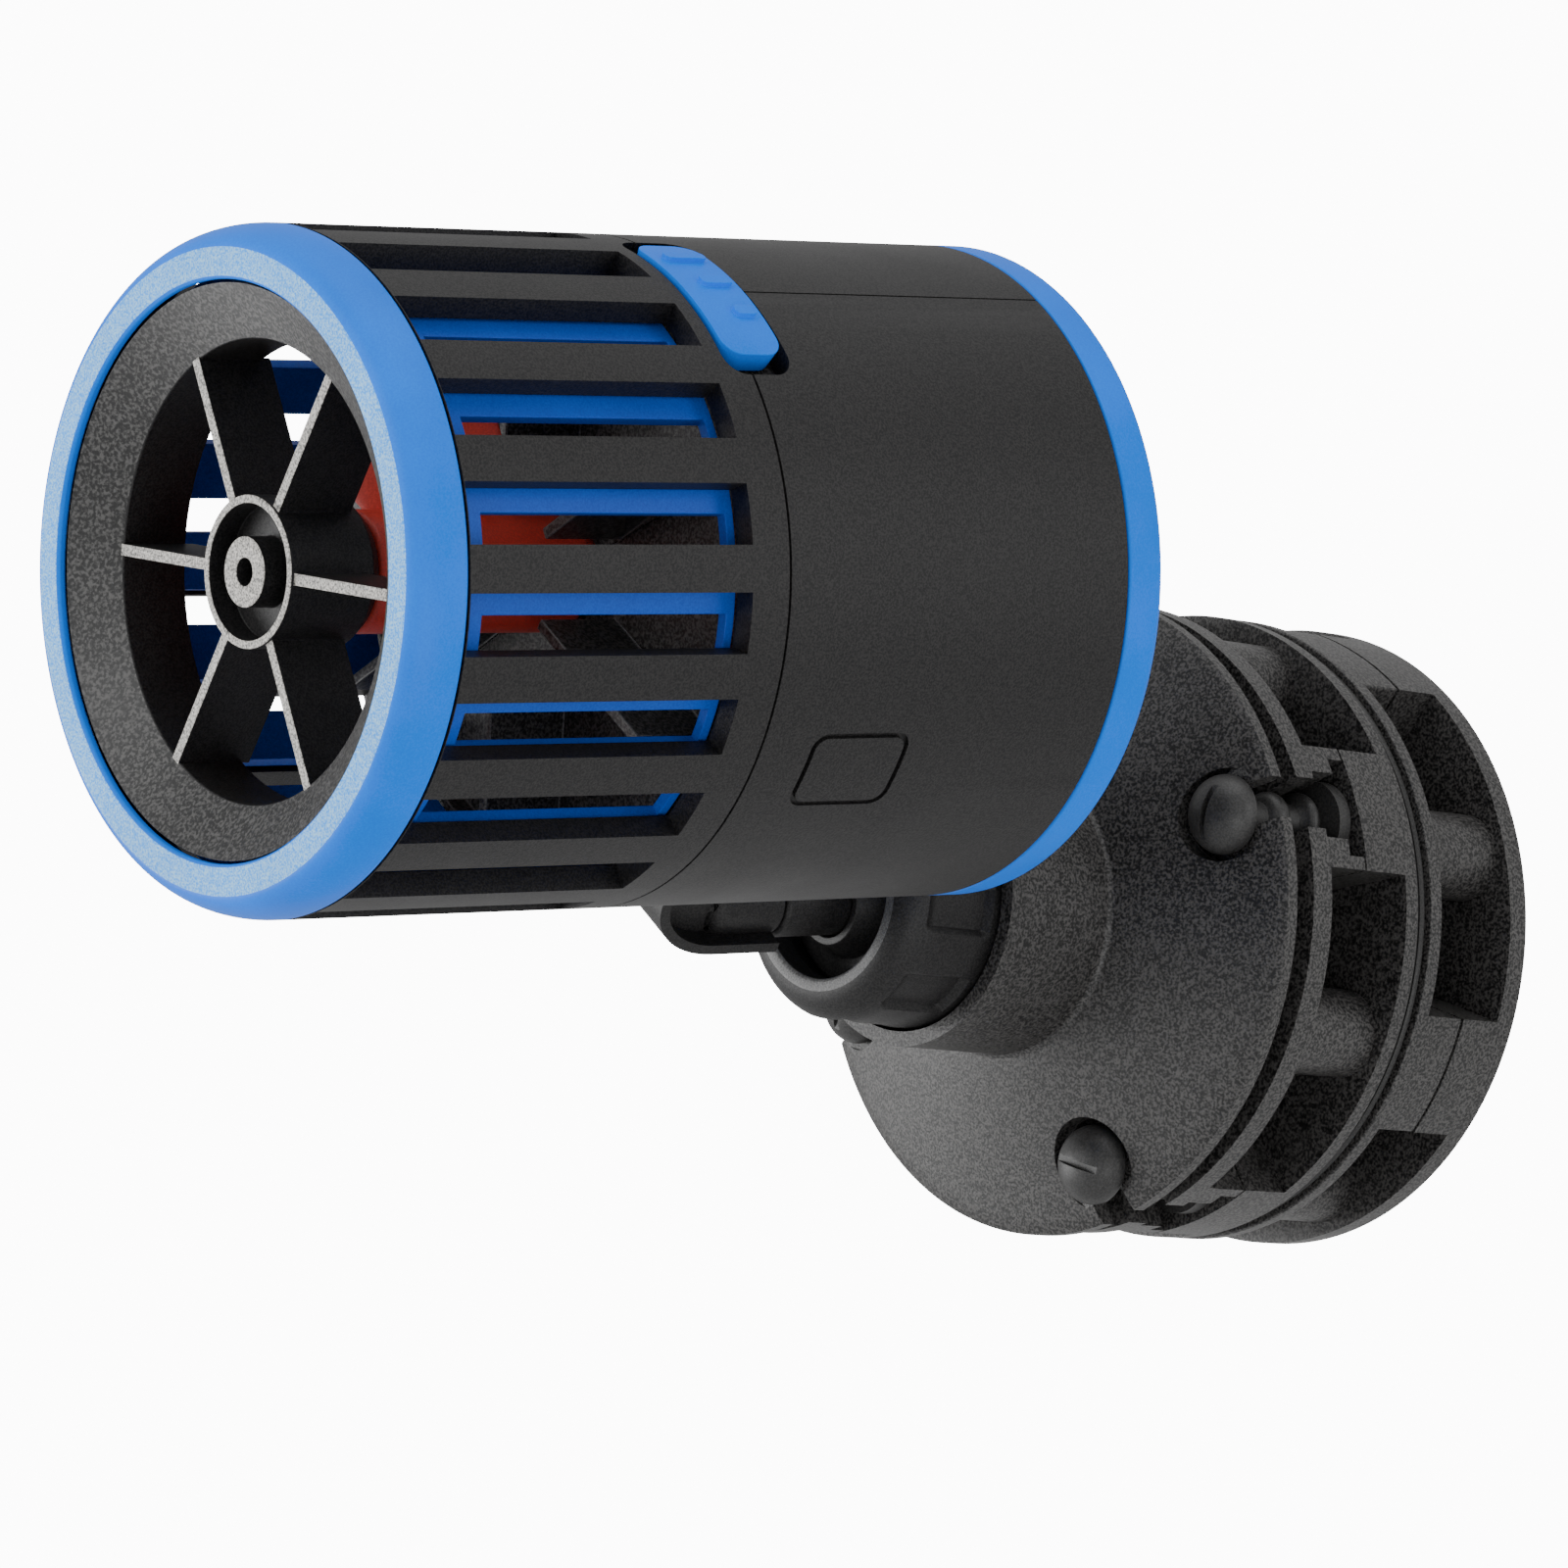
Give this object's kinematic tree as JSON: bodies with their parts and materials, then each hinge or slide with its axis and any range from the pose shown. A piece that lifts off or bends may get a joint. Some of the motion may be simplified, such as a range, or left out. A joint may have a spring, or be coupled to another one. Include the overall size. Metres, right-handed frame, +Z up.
{
  "type": "wave maker pump",
  "caption": "Cylindrical aquarium wave pump with a slotted intake cage and open outlet, held by a ball joint on a two-sided magnetic glass mount.",
  "frame": {"origin": "centre of the outer flat face of the dry-side magnet holder", "axes": "+Y out of that face, along the mount axis and away from the pump; +Z up; the pump head reaches toward -Y"},
  "size_m": [0.1002, 0.195, 0.1139],
  "materials": {
    "black_plastic": "fine satin texture",
    "charcoal_plastic": "fine satin texture",
    "blue_plastic": "satin, front face finely grained",
    "screen_blue_plastic": "satin",
    "red_plastic": "satin",
    "rubber": "matte",
    "steel": "plain",
    "magnet": "plated",
    "copper": "enamelled winding",
    "ceramic": "ground"
  },
  "bodies": {
    "dry_holder": {"dry_shell_rear": "charcoal_plastic", "dry_shell_front": "charcoal_plastic", "dry_magnet": "magnet", "dry_keeper": "steel", "dry_pad": "rubber"},
    "wet_holder": {"wet_pad": "rubber", "wet_shell_rear": "charcoal_plastic", "wet_shell_front": "charcoal_plastic", "wet_magnet": "magnet", "wet_keeper": "steel", "front_plate": "charcoal_plastic", "damper_1": "rubber", "damper_2": "rubber", "damper_3": "rubber", "damper_4": "rubber"},
    "lock_nut": {"lock_nut": "black_plastic"},
    "ball_seat": {"ball_seat": "charcoal_plastic"},
    "ball": {"swivel_ball": "black_plastic"},
    "head": {"stem": "black_plastic", "housing_right": "black_plastic", "housing_left": "black_plastic", "rear_ring": "blue_plastic", "rear_cap": "black_plastic", "cap_seal": "rubber", "cap_screw_1": "steel", "cap_screw_2": "steel", "cap_screw_3": "steel", "cable_gland": "rubber", "motor_frame": "charcoal_plastic", "motor_can": "charcoal_plastic", "stator_core": "steel", "stator_coil_1": "copper", "stator_coil_2": "copper", "stator_coil_3": "copper", "stator_coil_4": "copper", "stator_coil_5": "copper", "stator_coil_6": "copper", "shaft": "ceramic", "rear_bush": "ceramic"},
    "cage": {"outer_cage": "black_plastic", "inner_screen": "screen_blue_plastic", "front_ring": "blue_plastic", "nozzle_guard": "black_plastic", "front_bush": "ceramic"},
    "latch": {"latch": "blue_plastic"},
    "impeller": {"propeller": "red_plastic", "rotor_magnet": "magnet"}
  },
  "joints": [
    {"name": "glass_slide", "type": "slide", "parent": "dry_holder", "child": "wet_holder", "axis": [0, -1, 0], "range_m": [0, 0.015]},
    {"name": "nut_turn", "type": "hinge", "parent": "wet_holder", "child": "lock_nut", "pos_m": [0, -0.0736, 0], "axis": [0, -1, 0], "range_deg": [0, 90]},
    {"name": "seat_turn", "type": "hinge", "parent": "wet_holder", "child": "ball_seat", "pos_m": [0, -0.0736, 0], "axis": [0, -1, 0], "continuous": true},
    {"name": "ball_tilt", "type": "hinge", "parent": "ball_seat", "child": "ball", "pos_m": [0, -0.0736, 0], "axis": [0.8161, 0, -0.578], "range_deg": [-18, 3]},
    {"name": "head_roll", "type": "hinge", "parent": "ball", "child": "head", "pos_m": [0, -0.0736, 0], "axis": [0.0759, 0.9913, 0.1072], "continuous": true},
    {"name": "cage_slide", "type": "slide", "parent": "head", "child": "cage", "axis": [-0.0759, -0.9913, -0.1072], "range_m": [0, 0.06]},
    {"name": "latch_turn", "type": "hinge", "parent": "head", "child": "latch", "pos_m": [0.0168, -0.19049, 0.02752], "axis": [0.0759, 0.9913, 0.1072], "range_deg": [-3.2, 3.2]},
    {"name": "impeller_spin", "type": "hinge", "parent": "head", "child": "impeller", "pos_m": [0.0168, -0.19049, 0.02752], "axis": [0.0759, 0.9913, 0.1072], "continuous": true}
  ]
}
